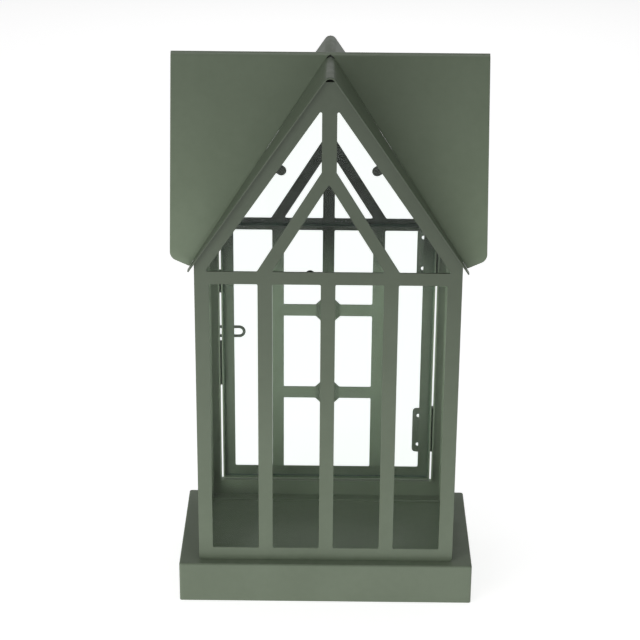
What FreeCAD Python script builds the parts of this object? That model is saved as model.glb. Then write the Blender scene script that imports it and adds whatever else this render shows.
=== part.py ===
"""House-shaped glass cover in folded sheet metal, on a folded plinth.

Frame: millimetres, +Z up, origin under the middle of the plinth on the surface that it
stands on. The front window wall faces -Y, and the door is in the back wall, at +Y.
"""

import FreeCAD, Part
import math
import os

import Sketcher

SIZES = {
    # plinth
    "plinth_length": 231.0,
    "plinth_depth": 125.0,
    "plinth_height": 33.0,
    "plinth_corner": 2.0,
    "plinth_roll": 1.4,
    "plinth_hem": 7.0,
    # sheet, glass and small parts
    "sheet": 1.2,
    "roof_sheet": 1.0,
    "glass": 2.0,
    "tab_sheet": 0.6,
    "tab_radius": 3.7,
    "fit_gap": 0.9,
    "tab_beyond": 2.6,
    "tab_run": 35.0,
    "tab_show": 1.0,
    "edge_show": 0.2,
    "rail_show": 0.3,
    "side_tab_show": 1.8,
    # house walls
    "house_half": 100.0,
    "depth_half": 54.5,
    "fold": 10.0,
    "wall_corner": 2.5,
    "wall_bar": 11.0,
    "low_rail": 10.6,
    "rail_low": 267.6,
    "rail_top": 277.6,
    "window_round": 1.0,
    # gable shared by the front, the back and the roof over them
    "gable_slope": 1.46,
    "gable_peak": 432.0,
    "gable_ridge": 5.0,
    "gable_over": 59.0,
    "gable_eave": 104.8,
    "wall_crown": 424.0,
    # light, or clear opening, in the front gable
    "light_peak": 411.6,
    "arch_peak": 346.5,
    "arch_slope": 1.63,
    "arch_bar": 9.3,
    # main roof, its ridge along X
    "wing_slope": 3.0,
    "wing_peak": 439.65,
    "wing_ridge": 4.0,
    "wing_half": 118.0,
    "wing_eave": 281.0,
    "wing_clip": 6.0,
    "wing_clip_run": 15.0,
    "wing_nip": 2.2,
    # side walls
    "side_stile": 7.0,
    "side_fold": 6.0,
    "side_shoulder": 50.6,
    "side_step": 0.3,
    # door
    "door_gap": 1.5,
    "door_half": 86.0,
    "door_low": 50.9,
    "door_fold": 5.0,
    "door_inset": 11.5,
    "door_crown": 404.0,
    "door_bar": 9.3,
    "door_rail": 10.0,
    "door_rail_top": 281.1,
    "door_arch_peak": 354.2,
    "door_arch_slope": 1.6,
    "door_arch_bar": 8.7,
    "cross_low": 124.1,
    "cross_high": 197.2,
    "cross_bar": 9.8,
    "cross_chamfer": 5.2,
    # hinges
    "hinge_axis": 86.75,
    "hinge_lift": 2.5,
    "knuckle": 2.2,
    "hinge_pin": 1.2,
    "pin_play": 0.05,
    "leaf_sheet": 1.0,
    "leaf_height": 40.0,
    "leaf_reach": 16.0,
    "leaf_clear": 2.7,
    "leaf_corner": 3.2,
    "leaf_hole": 1.7,
    "leaf_hole_pitch": 26.4,
    "leaf_hole_reach": 11.0,
    "leaf_tongue": 0.6,
    "knuckle_play": 0.15,
    "frame_leaf_reach": 12.0,
    "frame_hole_reach": 8.0,
    "hinge_low": 94.8,
    "hinge_high": 252.0,
    # hook latch
    "hook_pivot": 81.0,
    "hook_level": 181.4,
    "hook_wire": 1.2,
    "hook_half": 4.0,
    "hook_lift": 2.4,
    "hook_ring": 72.1,
    "hook_short": 90.5,
    "hook_reach": 98.0,
    "hook_bend": 2.4,
    "hook_tip": 1.2,
    "hub_radius": 3.6,
    "hub_sheet": 1.2,
    "rivet_shank": 1.2,
    "rivet_head": 2.4,
    "rivet_collar": 2.1,
    "catch_reach": 94.4,
    "catch_rise": 0.9,
    "catch_radius": 1.5,
    "catch_length": 4.2,
    # door stops
    "stop_sheet": 1.1,
    "stop_relief": 0.35,
    "stop_inner": 80.5,
    "stop_outer": 93.0,
}

doc = FreeCAD.newDocument("house_cloche")
sheet = doc.addObject("Spreadsheet::Sheet", "Sizes")
for row, (alias, number) in enumerate(SIZES.items(), start=1):
    sheet.set(f"A{row}", alias)
    sheet.set(f"B{row}", str(number))
    sheet.setAlias(f"B{row}", alias)
doc.recompute()


class Dim:
    """A length with its value in millimetres and the sheet expression that gives it."""

    def __init__(self, value, text):
        self.value = value
        self.text = text

    @staticmethod
    def of(thing):
        return thing if isinstance(thing, Dim) else Dim(float(thing), repr(float(thing)))

    def __add__(self, other):
        other = Dim.of(other)
        return Dim(self.value + other.value, f"({self.text} + {other.text})")

    def __sub__(self, other):
        other = Dim.of(other)
        return Dim(self.value - other.value, f"({self.text} - {other.text})")

    def __mul__(self, other):
        other = Dim.of(other)
        return Dim(self.value * other.value, f"({self.text} * {other.text})")

    def __truediv__(self, other):
        other = Dim.of(other)
        return Dim(self.value / other.value, f"({self.text} / {other.text})")

    def __neg__(self):
        return Dim(-self.value, f"(-1 * {self.text})")

    def __radd__(self, other):
        return Dim.of(other) + self

    def __rsub__(self, other):
        return Dim.of(other) - self

    def __rmul__(self, other):
        return Dim.of(other) * self

    def secant(self):
        """Length along a line of this slope for each unit of run."""
        return Dim(math.hypot(1.0, self.value), f"sqrt(1 + {self.text}^2)")


def size(alias):
    return Dim(float(sheet.get(alias)), f"{sheet.Name}.{alias}")


SHEET = size("sheet")
HALF = size("house_half")
DEEP = size("depth_half")
FOOT = size("plinth_height")
SLOPE = size("gable_slope")
LIFT = size("hinge_lift")
KNUCKLE = size("knuckle")
LEVEL = size("hook_level")
ZERO = Dim(0.0, "0")

# heights where the sloping walls lie under the roof sheet
WALL_PEAK = size("gable_peak") - size("roof_sheet") * SLOPE.secant()
DOOR_PEAK = WALL_PEAK - size("door_inset") * SLOPE.secant()
WING = size("wing_slope")
WING_UNDER = size("wing_peak") - size("roof_sheet") * WING.secant()


# ---------------------------------------------------------------- sketch and feature helpers

nodes = []
cuts = []


def new_body(label):
    body = doc.addObject("PartDesign::Body", label)
    body.Label = label
    nodes.append(body)
    return body


def bind(target, path, dim):
    target.setExpression(path, dim.text)


def new_sketch(body, role, offset=ZERO):
    """A sketch on one of the body's own origin planes, moved along the plane's normal."""
    sketch = body.newObject("Sketcher::SketchObject", body.Name + "_sketch")
    plane = next(item for item in body.Origin.OriginFeatures if item.Role == role)
    sketch.AttachmentSupport = [(plane, "")]
    sketch.MapMode = "FlatFace"
    bind(sketch, "AttachmentOffset.Base.z", offset)
    return sketch


def pin_point(sketch, curve, end, point):
    """Hold a curve's end (or a circle's centre) at a point given by two dimensions."""
    for kind, axis, dim in (("DistanceX", -2, point[0]), ("DistanceY", -1, point[1])):
        if dim is ZERO:
            sketch.addConstraint(Sketcher.Constraint("PointOnObject", curve, end, axis))
            continue
        index = sketch.addConstraint(Sketcher.Constraint(kind, curve, end, dim.value))
        bind(sketch, f"Constraints[{index}]", dim)


def loop(sketch, points):
    """Closed outline of straight lines through the given points."""
    vectors = [FreeCAD.Vector(x.value, y.value, 0) for x, y in points]
    first = sketch.GeometryCount
    count = len(points)
    for here, after in zip(vectors, vectors[1:] + vectors[:1]):
        sketch.addGeometry(Part.LineSegment(here, after), False)
    for step, point in enumerate(points):
        before = first + (step - 1) % count
        sketch.addConstraint(Sketcher.Constraint("Coincident", before, 2, first + step, 1))
        pin_point(sketch, first + step, 1, point)


def rectangle(sketch, left, right, low, high):
    loop(sketch, [(left, low), (right, low), (right, high), (left, high)])


def circle(sketch, centre, radius):
    spot = FreeCAD.Vector(centre[0].value, centre[1].value, 0)
    index = sketch.addGeometry(Part.Circle(spot, FreeCAD.Vector(0, 0, 1), radius.value), False)
    pin_point(sketch, index, 3, centre)
    ring = sketch.addConstraint(Sketcher.Constraint("Radius", index, radius.value))
    bind(sketch, f"Constraints[{ring}]", radius)


def mirrored(points):
    """The same outline on the other side of the vertical axis."""
    return [(point[0] if point[0] is ZERO else -point[0], point[1]) for point in points]


def pad(body, sketch, length, reverse=False):
    feature = body.newObject("PartDesign::Pad", body.Name + "_pad")
    feature.Profile = sketch
    feature.Reversed = reverse
    bind(feature, "Length", length)
    sketch.Visibility = False
    doc.recompute()
    return feature


def pocket(body, sketch, length=None, reverse=False):
    """Cut along the sketch's far side, through everything when no length is given."""
    before = body.Shape.Volume
    feature = body.newObject("PartDesign::Pocket", body.Name + "_pocket")
    feature.Profile = sketch
    feature.Reversed = reverse
    if length is None:
        feature.Type = 1
    else:
        bind(feature, "Length", length)
    doc.recompute()
    cuts.append((body.Label, feature.Name, before, body.Shape.Volume))
    return feature


def fillet(body, radius, wanted):
    """Round the edges that the test picks out."""
    tip = body.Tip
    names = [f"Edge{n}" for n, edge in enumerate(tip.Shape.Edges, start=1) if wanted(edge)]
    feature = body.newObject("PartDesign::Fillet", body.Name + "_fillet")
    feature.Base = (tip, names)
    bind(feature, "Radius", radius)
    doc.recompute()
    return feature


def runs_along(edge, axis):
    """True for a straight edge parallel to an axis, given as 0, 1 or 2."""
    if not isinstance(edge.Curve, Part.Line):
        return False
    return abs(abs(edge.Curve.Direction[axis]) - 1) < 1e-6


def at(edge, axis, place):
    return abs(edge.CenterOfMass[axis] - place.value) < 1e-3


# ---------------------------------------------------------------- outlines

def house_outline(half, low, peak, crown, slope=SLOPE):
    """Wall with a gable whose tip is cut level at the crown."""
    eave = peak - half * slope
    tip = (peak - crown) / slope
    return [(-half, low), (half, low), (half, eave), (tip, crown), (-tip, crown), (-half, eave)]


def inset_house(half, low, peak, crown, step):
    return house_outline(half - step, low + step, peak - step * SLOPE.secant(), crown - step)


def tray(body, faces, depth, outline, inner):
    """Sheet face with a rim folded back: faces is -1 towards the front and +1 towards the back."""
    outside = DEEP if faces < 0 else -DEEP
    inside = DEEP - SHEET if faces < 0 else SHEET - DEEP
    blank = new_sketch(body, "XZ_Plane", outside)
    loop(blank, outline)
    pad(body, blank, depth, reverse=faces < 0)
    hollow = new_sketch(body, "XZ_Plane", inside)
    loop(hollow, inner)
    pocket(body, hollow, None, reverse=faces > 0)


def cut_windows(body, faces, outlines):
    """Cut closed outlines through the sheet face and round their corners."""
    outside = DEEP if faces < 0 else -DEEP
    windows = new_sketch(body, "XZ_Plane", outside)
    for outline in outlines:
        loop(windows, outline)
    pocket(body, windows, SHEET + 0.5, reverse=faces > 0)
    corners = {(round(x.value, 2), round(z.value, 2)) for outline in outlines for x, z in outline}

    def is_corner(edge):
        spot = edge.CenterOfMass
        return runs_along(edge, 1) and (round(spot.x, 2), round(spot.z, 2)) in corners

    fillet(body, size("window_round"), is_corner)


# ---------------------------------------------------------------- plinth

def make_plinth():
    body = new_body("plinth")
    long = size("plinth_length") / 2
    wide = size("plinth_depth") / 2
    hem = size("plinth_hem")
    block = new_sketch(body, "XY_Plane")
    rectangle(block, -long, long, -wide, wide)
    pad(body, block, FOOT)
    fillet(body, size("plinth_corner"), lambda edge: runs_along(edge, 2))
    fillet(body, size("plinth_roll"), lambda edge: at(edge, 2, FOOT))
    mouth = new_sketch(body, "XY_Plane")
    rectangle(mouth, hem - long, long - hem, hem - wide, wide - hem)
    pocket(body, mouth, SHEET, reverse=True)
    hollow = new_sketch(body, "XY_Plane", SHEET)
    rectangle(hollow, SHEET - long, long - SHEET, SHEET - wide, wide - SHEET)
    pocket(body, hollow, FOOT - SHEET * 2, reverse=True)


# ---------------------------------------------------------------- front wall

def column_lights(half, stile, bar, low, high, skip=()):
    """Four upright lights between two stiles and three bars, as (left, right, low, high)."""
    width = (half * 2 - stile * 2 - bar * 3) / 4
    lights = []
    for column in range(4):
        left = stile - half + (width + bar) * column
        if column not in skip:
            lights.append((left, left + width, low, high))
    return lights


def boxes(lights):
    return [[(a, low), (b, low), (b, high), (a, high)] for a, b, low, high in lights]


def make_front_wall():
    body = new_body("front_wall")
    crown = size("wall_crown")
    outline = house_outline(HALF, FOOT, WALL_PEAK, crown)
    tray(body, -1, size("fold"), outline, inset_house(HALF, FOOT, WALL_PEAK, crown, SHEET))
    bar = size("wall_bar")
    top = size("rail_top")
    peak = size("light_peak")
    arch = size("arch_peak")
    lean = size("arch_slope")
    outer_arch = arch + size("arch_bar") * lean.secant()
    post = bar / 2
    foot = (outer_arch - top) / lean
    upper = [
        (foot, top),
        ((peak - top) / SLOPE, top),
        (post, peak - post * SLOPE),
        (post, outer_arch - post * lean),
    ]
    inner = [(-((arch - top) / lean), top), ((arch - top) / lean, top), (ZERO, arch)]
    columns = column_lights(HALF, bar, bar, FOOT + size("low_rail"), size("rail_low"))
    cut_windows(body, -1, boxes(columns) + [upper, mirrored(upper), inner])
    fillet(body, size("wall_corner"), lambda edge: runs_along(edge, 1) and at(edge, 2, FOOT)
           and abs(abs(edge.CenterOfMass.x) - HALF.value) < 1e-3)
    return body


# ---------------------------------------------------------------- back wall and door

def make_back_wall():
    body = new_body("back_wall")
    crown = size("wall_crown")
    outline = house_outline(HALF, FOOT, WALL_PEAK, crown)
    tray(body, 1, size("fold"), outline, inset_house(HALF, FOOT, WALL_PEAK, crown, SHEET))
    gap = size("door_gap")
    wide = size("door_half") + gap
    low = size("door_low") - gap
    peak = DOOR_PEAK + gap * SLOPE.secant()
    top = size("door_crown") + gap
    lip = new_sketch(body, "XZ_Plane", -DEEP)
    loop(lip, house_outline(wide + SHEET, low - SHEET, peak + SHEET * SLOPE.secant(), top + SHEET))
    pad(body, lip, size("door_fold"))
    opening = new_sketch(body, "XZ_Plane", -DEEP)
    loop(opening, house_outline(wide, low, peak, top))
    pocket(body, opening, None, reverse=True)
    fillet(body, size("wall_corner"), lambda edge: runs_along(edge, 1) and at(edge, 2, FOOT)
           and abs(abs(edge.CenterOfMass.x) - HALF.value) < 1e-3)


def chamfered_light(left, right, low, high, cut_low, cut_high, inner_side):
    """Upright light whose corners towards the middle bar are cut off, +1 right and -1 left."""
    cut = size("cross_chamfer")
    near, far = (right, left) if inner_side > 0 else (left, right)
    step = -cut if inner_side > 0 else cut
    points = [(far, low)]
    points += [(near + step, low), (near, low + cut)] if cut_low else [(near, low)]
    points += [(near, high - cut), (near + step, high)] if cut_high else [(near, high)]
    points += [(far, high)]
    return points


def make_door():
    body = new_body("door_frame")
    half = size("door_half")
    low = size("door_low")
    crown = size("door_crown")
    outline = house_outline(half, low, DOOR_PEAK, crown)
    tray(body, 1, size("door_fold"), outline, inset_house(half, low, DOOR_PEAK, crown, SHEET))
    rail = size("door_rail")
    bar = size("door_bar")
    top = size("door_rail_top")
    head = top - rail
    columns = column_lights(half, rail, bar, low + rail, head, skip=(1, 2))
    outlines = boxes(columns)
    levels = [low + rail]
    for cross in (size("cross_low"), size("cross_high")):
        levels += [cross, cross + size("cross_bar")]
    levels.append(head)
    for left, right, _, _ in column_lights(half, rail, bar, low, head, skip=(0, 3)):
        side = 1 if left.value < 0 else -1
        for light in range(3):
            outlines.append(chamfered_light(left, right, levels[light * 2], levels[light * 2 + 1],
                                            light > 0, light < 2, side))
    lean = size("door_arch_slope")
    arch = size("door_arch_peak")
    inner_arch = arch - size("door_arch_bar") * lean.secant()
    inner_peak = DOOR_PEAK - rail * SLOPE.secant()
    post = bar / 2
    upper = [
        ((arch - top) / lean, top),
        ((inner_peak - top) / SLOPE, top),
        (post, inner_peak - post * SLOPE),
        (post, arch - post * lean),
    ]
    inner = [(post, top), ((inner_arch - top) / lean, top), (post, inner_arch - post * lean)]
    outlines += [upper, mirrored(upper), inner, mirrored(inner)]
    cut_windows(body, 1, outlines)


# ---------------------------------------------------------------- side walls

def make_side_wall(label, side):
    """Folded side wall between the front and back rims; side is -1 left and +1 right."""
    body = new_body(label)
    half = DEEP - size("fold")
    shoulder = size("side_shoulder")
    crown = size("wall_crown")
    step = WING_UNDER - shoulder * WING
    right = [(half, FOOT), (half, step), (shoulder, step), ((WING_UNDER - crown) / WING, crown)]
    blank = new_sketch(body, "YZ_Plane", HALF * side)
    loop(blank, right + mirrored(right)[::-1])
    pad(body, blank, size("side_fold"), reverse=side > 0)
    under = WING_UNDER - SHEET * WING.secant()
    inner = half - SHEET
    rise = (under - step) / WING
    right = [(inner, FOOT + SHEET), (inner, step), (rise, step),
             ((under - crown + SHEET) / WING, crown - SHEET)]
    hollow = new_sketch(body, "YZ_Plane", (HALF - SHEET) * side)
    loop(hollow, right + mirrored(right)[::-1])
    pocket(body, hollow, None, reverse=side < 0)
    stile = size("side_stile")
    post = size("wall_bar") / 2
    low = FOOT + size("low_rail")
    top = size("rail_top")
    edge = half - stile
    peak = WING_UNDER - stile * WING.secant()
    light = [(post, low), (edge, low), (edge, size("rail_low")), (post, size("rail_low"))]
    upper = [(post, top), (edge, top), (edge, peak - edge * WING), (post, peak - post * WING)]
    windows = new_sketch(body, "YZ_Plane", HALF * side)
    for outline in (light, mirrored(light), upper, mirrored(upper)):
        loop(windows, outline)
    pocket(body, windows, SHEET * 2, reverse=side < 0)
    trim_shoulders(body, side, half)


def trim_shoulders(body, side, half):
    """Cut the wall's shoulders to clear the sloping rims of the front and back walls."""
    clear = WALL_PEAK + size("side_step")
    near = HALF - size("side_fold") * 2
    far = HALF + SHEET
    bottom = size("rail_low")
    wedge = [(near, bottom), (far, bottom), (far, clear - far * SLOPE), (near, clear - near * SLOPE)]
    for faces in (-1, 1):
        cut = new_sketch(body, "XZ_Plane", half * -faces)
        loop(cut, wedge if side > 0 else mirrored(wedge))
        pocket(body, cut, size("fold"), reverse=faces < 0)


# ---------------------------------------------------------------- roof

def bent_sheet(sketch, half, eave, peak, slope):
    """Section of a sheet bent over a ridge, cut level at both eaves."""
    under = peak - size("roof_sheet") * slope.secant()
    inner = (under - eave) / slope
    loop(sketch, [(half, eave), (ZERO, peak), (-half, eave), (-inner, eave), (ZERO, under),
                  (inner, eave)])


def round_ridge(body, radius, along):
    """Bend radius on the outside of the ridge, and less the sheet on its inside."""
    across = 1 - along
    sheet_thick = size("roof_sheet")
    top = max(vertex.Z for vertex in body.Tip.Shape.Vertexes)

    def ridge_edge(edge):
        return runs_along(edge, along) and abs(edge.CenterOfMass[across]) < 1e-3

    fillet(body, radius, lambda edge: ridge_edge(edge) and edge.CenterOfMass.z > top - 1e-3)
    fillet(body, radius - sheet_thick, ridge_edge)


VALLEY_START = (size("wing_peak") - size("gable_peak")) / WING
VALLEY_RATE = SLOPE / WING


def valley_at(run):
    """How far from the main ridge the valley lies, for a distance from the middle."""
    return VALLEY_START + VALLEY_RATE * run


def make_gable_roof(label, faces):
    """Bent sheet over the front (-1) or back (+1) wall, mitred along both valleys."""
    body = new_body(label)
    over = size("gable_over")
    section = new_sketch(body, "XZ_Plane", over * -faces)
    bent_sheet(section, size("gable_eave"), size("gable_peak") - size("gable_eave") * SLOPE,
               size("gable_peak"), SLOPE)
    pad(body, section, over, reverse=faces < 0)
    round_ridge(body, size("gable_ridge"), 1)
    wide = size("wing_half")
    mitre = new_sketch(body, "XY_Plane")
    past = DEEP * -faces
    loop(mitre, [(ZERO, VALLEY_START * faces), (wide, valley_at(wide) * faces), (wide, past),
                 (-wide, past), (-wide, valley_at(wide) * faces)])
    pocket(body, mitre, None, reverse=True)


def make_main_roof():
    """Bent sheet with its ridge along X, notched to the valleys in front and behind."""
    body = new_body("main_roof")
    wide = size("wing_half")
    eave = size("wing_eave")
    section = new_sketch(body, "YZ_Plane", -wide)
    bent_sheet(section, (size("wing_peak") - eave) / WING, eave, size("wing_peak"), WING)
    pad(body, section, wide * 2)
    round_ridge(body, size("wing_ridge"), 0)
    beyond = wide + SHEET
    for faces in (-1, 1):
        notch = new_sketch(body, "XY_Plane")
        past = DEEP * 2 * faces
        loop(notch, [(ZERO, VALLEY_START * faces), (beyond, valley_at(beyond) * faces),
                     (beyond, past), (-beyond, past), (-beyond, valley_at(beyond) * faces)])
        pocket(body, notch, None, reverse=True)
    clip_top = eave + size("wing_clip")
    nip = size("wing_nip")
    low = eave - SHEET
    run = size("wing_clip_run")
    for side in (-1, 1):
        clip = new_sketch(body, "XZ_Plane", DEEP * 2)
        outline = [(wide - run, eave), (wide - nip, clip_top - nip * size("wing_clip") / run),
                   (wide, clip_top + nip), (beyond, clip_top + nip), (beyond, low),
                   (wide - run, low)]
        loop(clip, outline if side > 0 else mirrored(outline))
        pocket(body, clip)


# ---------------------------------------------------------------- glass

GLASS = size("glass")
EDGE = SHEET + size("fit_gap")
SEAM = (size("rail_low") + size("rail_top")) / 2
SEAM_GAP = size("tab_sheet")


def make_pane(label, role, offset, outline, reverse):
    body = new_body(label)
    face = new_sketch(body, role, offset)
    loop(face, outline)
    pad(body, face, GLASS, reverse)


def low_pane(half, low, high):
    return [(-half, low), (half, low), (half, high), (-half, high)]


def make_glass():
    inner = DEEP - SHEET
    half = HALF - EDGE
    low = FOOT + EDGE
    make_pane("front_low_glass", "XZ_Plane", inner, low_pane(half, low, SEAM - SEAM_GAP), True)
    gable = house_outline(half, SEAM + SEAM_GAP, WALL_PEAK - EDGE * SLOPE.secant(),
                          size("wall_crown") - EDGE)
    make_pane("front_gable_glass", "XZ_Plane", inner, gable, True)
    side_half = DEEP - size("fold") - EDGE
    side_gable = house_outline(side_half, SEAM + SEAM_GAP, WING_UNDER - EDGE * WING.secant(),
                               size("wall_crown") - EDGE, WING)
    for name, side in (("left", -1), ("right", 1)):
        offset = (HALF - SHEET) * side
        lower = low_pane(side_half, low, SEAM - SEAM_GAP)
        make_pane(f"{name}_low_glass", "YZ_Plane", offset, lower, side > 0)
        make_pane(f"{name}_gable_glass", "YZ_Plane", offset, side_gable, side > 0)
    half = size("door_half") - EDGE
    seam = size("door_rail_top") - size("door_rail") / 2
    lower = low_pane(half, size("door_low") + EDGE, seam - SEAM_GAP)
    make_pane("door_low_glass", "XZ_Plane", -inner, lower, False)
    gable = house_outline(half, seam + SEAM_GAP, DOOR_PEAK - EDGE * SLOPE.secant(),
                          size("door_crown") - EDGE)
    make_pane("door_gable_glass", "XZ_Plane", -inner, gable, False)


# ---------------------------------------------------------------- glass tabs

def primitive(kind, name, placement, **dims):
    item = doc.addObject(kind, name)
    for key, dim in dims.items():
        bind(item, key, dim)
    item.Placement = placement
    return item


def make_tab(name, tip, outward, inward, reach):
    """Bent tab over the back of a pane: a round-ended tongue and a leg beside the glass edge.

    tip is the centre of the round end on the pane's back, outward points from there to the
    rim, inward points into the house, and reach is the distance from the tip to the rim.
    """
    across = inward.cross(outward)
    turn = FreeCAD.Rotation(outward, across, inward, "ZXY")
    thick = size("tab_sheet")
    radius = size("tab_radius")
    corner = tip - across * radius.value
    tongue = primitive("Part::Box", name + "_tongue", FreeCAD.Placement(corner, turn),
                       Length=reach, Width=radius * 2, Height=thick)
    end = primitive("Part::Cylinder", name + "_end", FreeCAD.Placement(tip, turn),
                    Radius=radius, Height=thick)
    root = corner + outward * (reach.value - thick.value) - inward * GLASS.value
    leg = primitive("Part::Box", name + "_leg", FreeCAD.Placement(root, turn),
                    Length=thick, Width=radius * 2, Height=GLASS + thick)
    tab = doc.addObject("Part::MultiFuse", name)
    tab.Shapes = [tongue, end, leg]
    return tab


def group(label, parts):
    compound = doc.addObject("Part::Compound", label)
    compound.Label = label
    compound.Links = parts
    nodes.append(compound)


def stile_tabs(label, rim, stile, show, levels, place, inward, side_vector):
    """Tabs on both sides at each level, whose ends show past the stiles."""
    tip_run = rim + SHEET - stile - show + size("tab_radius")
    parts = []
    for side in (-1, 1):
        for level in levels:
            tip = place + side_vector * (side * tip_run.value) + FreeCAD.Vector(0, 0, level)
            parts.append(make_tab(f"{label}_stile_{len(parts)}", tip, side_vector * side, inward,
                                  rim - tip_run))
    return parts


def slope_tabs(label, run, beyond, line_peak, rim_peak, slope, place, inward, side_vector):
    """One tab on each gable slope, square to it."""
    sec = slope.secant().value
    height = line_peak.value - run.value * slope.value - beyond.value * sec
    reach = (rim_peak - line_peak) / slope.secant() + beyond
    parts = []
    for side in (-1, 1):
        outward = side_vector * (side * slope.value / sec) + FreeCAD.Vector(0, 0, 1 / sec)
        tip = place + side_vector * (side * run.value) + FreeCAD.Vector(0, 0, height)
        parts.append(make_tab(f"{label}_slope_{side + 1}", tip, outward, inward, reach))
    return parts


def make_glass_tabs():
    across = FreeCAD.Vector(1, 0, 0)
    along = FreeCAD.Vector(0, 1, 0)
    up = FreeCAD.Vector(0, 0, 1)
    back = (DEEP - SHEET - GLASS).value
    sec = SLOPE.secant()
    rim_peak = WALL_PEAK - SHEET * sec
    place = -along * back
    show = size("edge_show")
    front = stile_tabs("front_tab", HALF - SHEET, size("wall_bar"), show, (65.0, 215.0), place,
                       along, across)
    front += slope_tabs("front_tab", size("tab_run"), size("tab_beyond"), size("light_peak"),
                        rim_peak, SLOPE, place, along, across)
    rise = size("rail_top") + size("rail_show") - size("tab_radius")
    spot = place + FreeCAD.Vector(-13.5, 0, rise.value)
    front.append(make_tab("front_tab_rail", spot, -up, along, rise - SEAM + SEAM_GAP / 2))
    group("front_glass_tabs", front)
    side_rim = DEEP - size("fold") - SHEET
    light_peak = WING_UNDER - size("side_stile") * WING.secant()
    for name, side in (("left", -1), ("right", 1)):
        place = across * (side * (HALF - SHEET - GLASS).value)
        tabs = stile_tabs(name + "_tab", side_rim, size("side_stile"), size("side_tab_show"),
                          (90.0, 215.0), place, across * -side, along)
        tabs += slope_tabs(name + "_tab", size("tab_run") / 2, size("tab_show"), light_peak,
                           WING_UNDER - SHEET * WING.secant(), WING, place, across * -side, along)
        group(f"{name}_glass_tabs", tabs)
    place = along * back
    door = stile_tabs("door_tab", size("door_half") - SHEET, size("door_rail"), show,
                      (230.0,), place, -along, across)
    door += slope_tabs("door_tab", size("tab_run"), size("tab_show"),
                       DOOR_PEAK - size("door_rail") * sec, DOOR_PEAK - SHEET * sec, SLOPE, place,
                       -along, across)
    group("door_glass_tabs", door)


# ---------------------------------------------------------------- hinges

AXIS = size("hinge_axis")
PIN_BACK = DEEP + LIFT


def make_leaf(label, middle, side, reach, hole_reach, knuckles):
    """Hinge leaf: side is -1 towards the door and +1 towards the frame, knuckles are thirds."""
    body = new_body(label)
    tall = size("leaf_height")
    low = middle - tall / 2
    third = tall / 3
    play = size("knuckle_play")
    clear = AXIS + size("leaf_clear") * side
    tongue = AXIS + size("leaf_tongue") * side
    spans = [(low + third * part + play, low + third * (part + 1) - play) for part in knuckles]
    outline = [(AXIS + reach * side, low), (clear, low)]
    for start, end in spans:
        outline += [(clear, start), (tongue, start), (tongue, end), (clear, end)]
    outline += [(clear, low + tall), (AXIS + reach * side, low + tall)]
    plate = new_sketch(body, "XZ_Plane", -DEEP)
    loop(plate, outline)
    pad(body, plate, size("leaf_sheet"), reverse=True)
    free_edge = AXIS + reach * side
    fillet(body, size("leaf_corner"), lambda edge: runs_along(edge, 1) and at(edge, 0, free_edge))
    for start, end in spans:
        barrel = new_sketch(body, "XY_Plane", start)
        circle(barrel, (AXIS, PIN_BACK), KNUCKLE)
        pad(body, barrel, end - start)
    bore = new_sketch(body, "XY_Plane", low - play)
    circle(bore, (AXIS, PIN_BACK), size("hinge_pin") + size("pin_play"))
    pocket(body, bore, None, reverse=True)
    holes = new_sketch(body, "XZ_Plane", -DEEP)
    for step in (-1, 1):
        level = middle + size("leaf_hole_pitch") / 2 * step
        circle(holes, (AXIS + hole_reach * side, level), size("leaf_hole"))
    pocket(body, holes)


def make_hinge(name, middle):
    make_leaf(f"{name}_hinge_door_leaf", middle, -1, size("leaf_reach"), size("leaf_hole_reach"),
              (1,))
    make_leaf(f"{name}_hinge_frame_leaf", middle, 1, size("frame_leaf_reach"),
              size("frame_hole_reach"), (0, 2))
    body = new_body(f"{name}_hinge_pin")
    tall = size("leaf_height")
    shank = new_sketch(body, "XY_Plane", middle - tall / 2)
    circle(shank, (AXIS, PIN_BACK), size("hinge_pin"))
    pad(body, shank, tall)
    for level in (middle + tall / 2 - size("knuckle_play"), middle - tall / 2 - SHEET / 2):
        head = new_sketch(body, "XY_Plane", level)
        circle(head, (AXIS, PIN_BACK), KNUCKLE - size("knuckle_play"))
        pad(body, head, SHEET / 2 + size("knuckle_play"))


# ---------------------------------------------------------------- hook latch and stops

WIRE_BACK = DEEP + size("hook_lift")
PIVOT = (-size("hook_pivot"), LEVEL)


def hook_path(body):
    """Bent wire: lower run, round end, long upper run and a turned-down tip."""
    path = new_sketch(body, "XZ_Plane", -WIRE_BACK)
    wide = size("hook_half")
    low, high = LEVEL - wide, LEVEL + wide
    ring = -size("hook_ring")
    bend = size("hook_bend")
    reach = -size("hook_reach")
    turn = reach + bend
    corners = [
        ((-size("hook_short"), low), (ring, low)),
        ((ring, high), (turn, high)),
        ((reach, high - bend), (reach, LEVEL - size("hook_tip"))),
    ]
    for start, end in corners:
        ends = [FreeCAD.Vector(spot[0].value, spot[1].value, 0) for spot in (start, end)]
        index = path.addGeometry(Part.LineSegment(*ends), False)
        pin_point(path, index, 1, start)
        pin_point(path, index, 2, end)
    arcs = (
        ((ring, LEVEL), wide, -math.pi / 2, math.pi / 2, (0, 1)),
        ((turn, high - bend), bend, math.pi / 2, math.pi, (1, 2)),
    )
    for centre, radius, begin, finish, lines in arcs:
        spot = FreeCAD.Vector(centre[0].value, centre[1].value, 0)
        ring_curve = Part.Circle(spot, FreeCAD.Vector(0, 0, 1), radius.value)
        index = path.addGeometry(Part.ArcOfCircle(ring_curve, begin, finish), False)
        path.addConstraint(Sketcher.Constraint("Coincident", lines[0], 2, index, 1))
        path.addConstraint(Sketcher.Constraint("Coincident", index, 2, lines[1], 1))
        hold = path.addConstraint(Sketcher.Constraint("DistanceX", index, 3, centre[0].value))
        bind(path, f"Constraints[{hold}]", centre[0])
    return path


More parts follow.
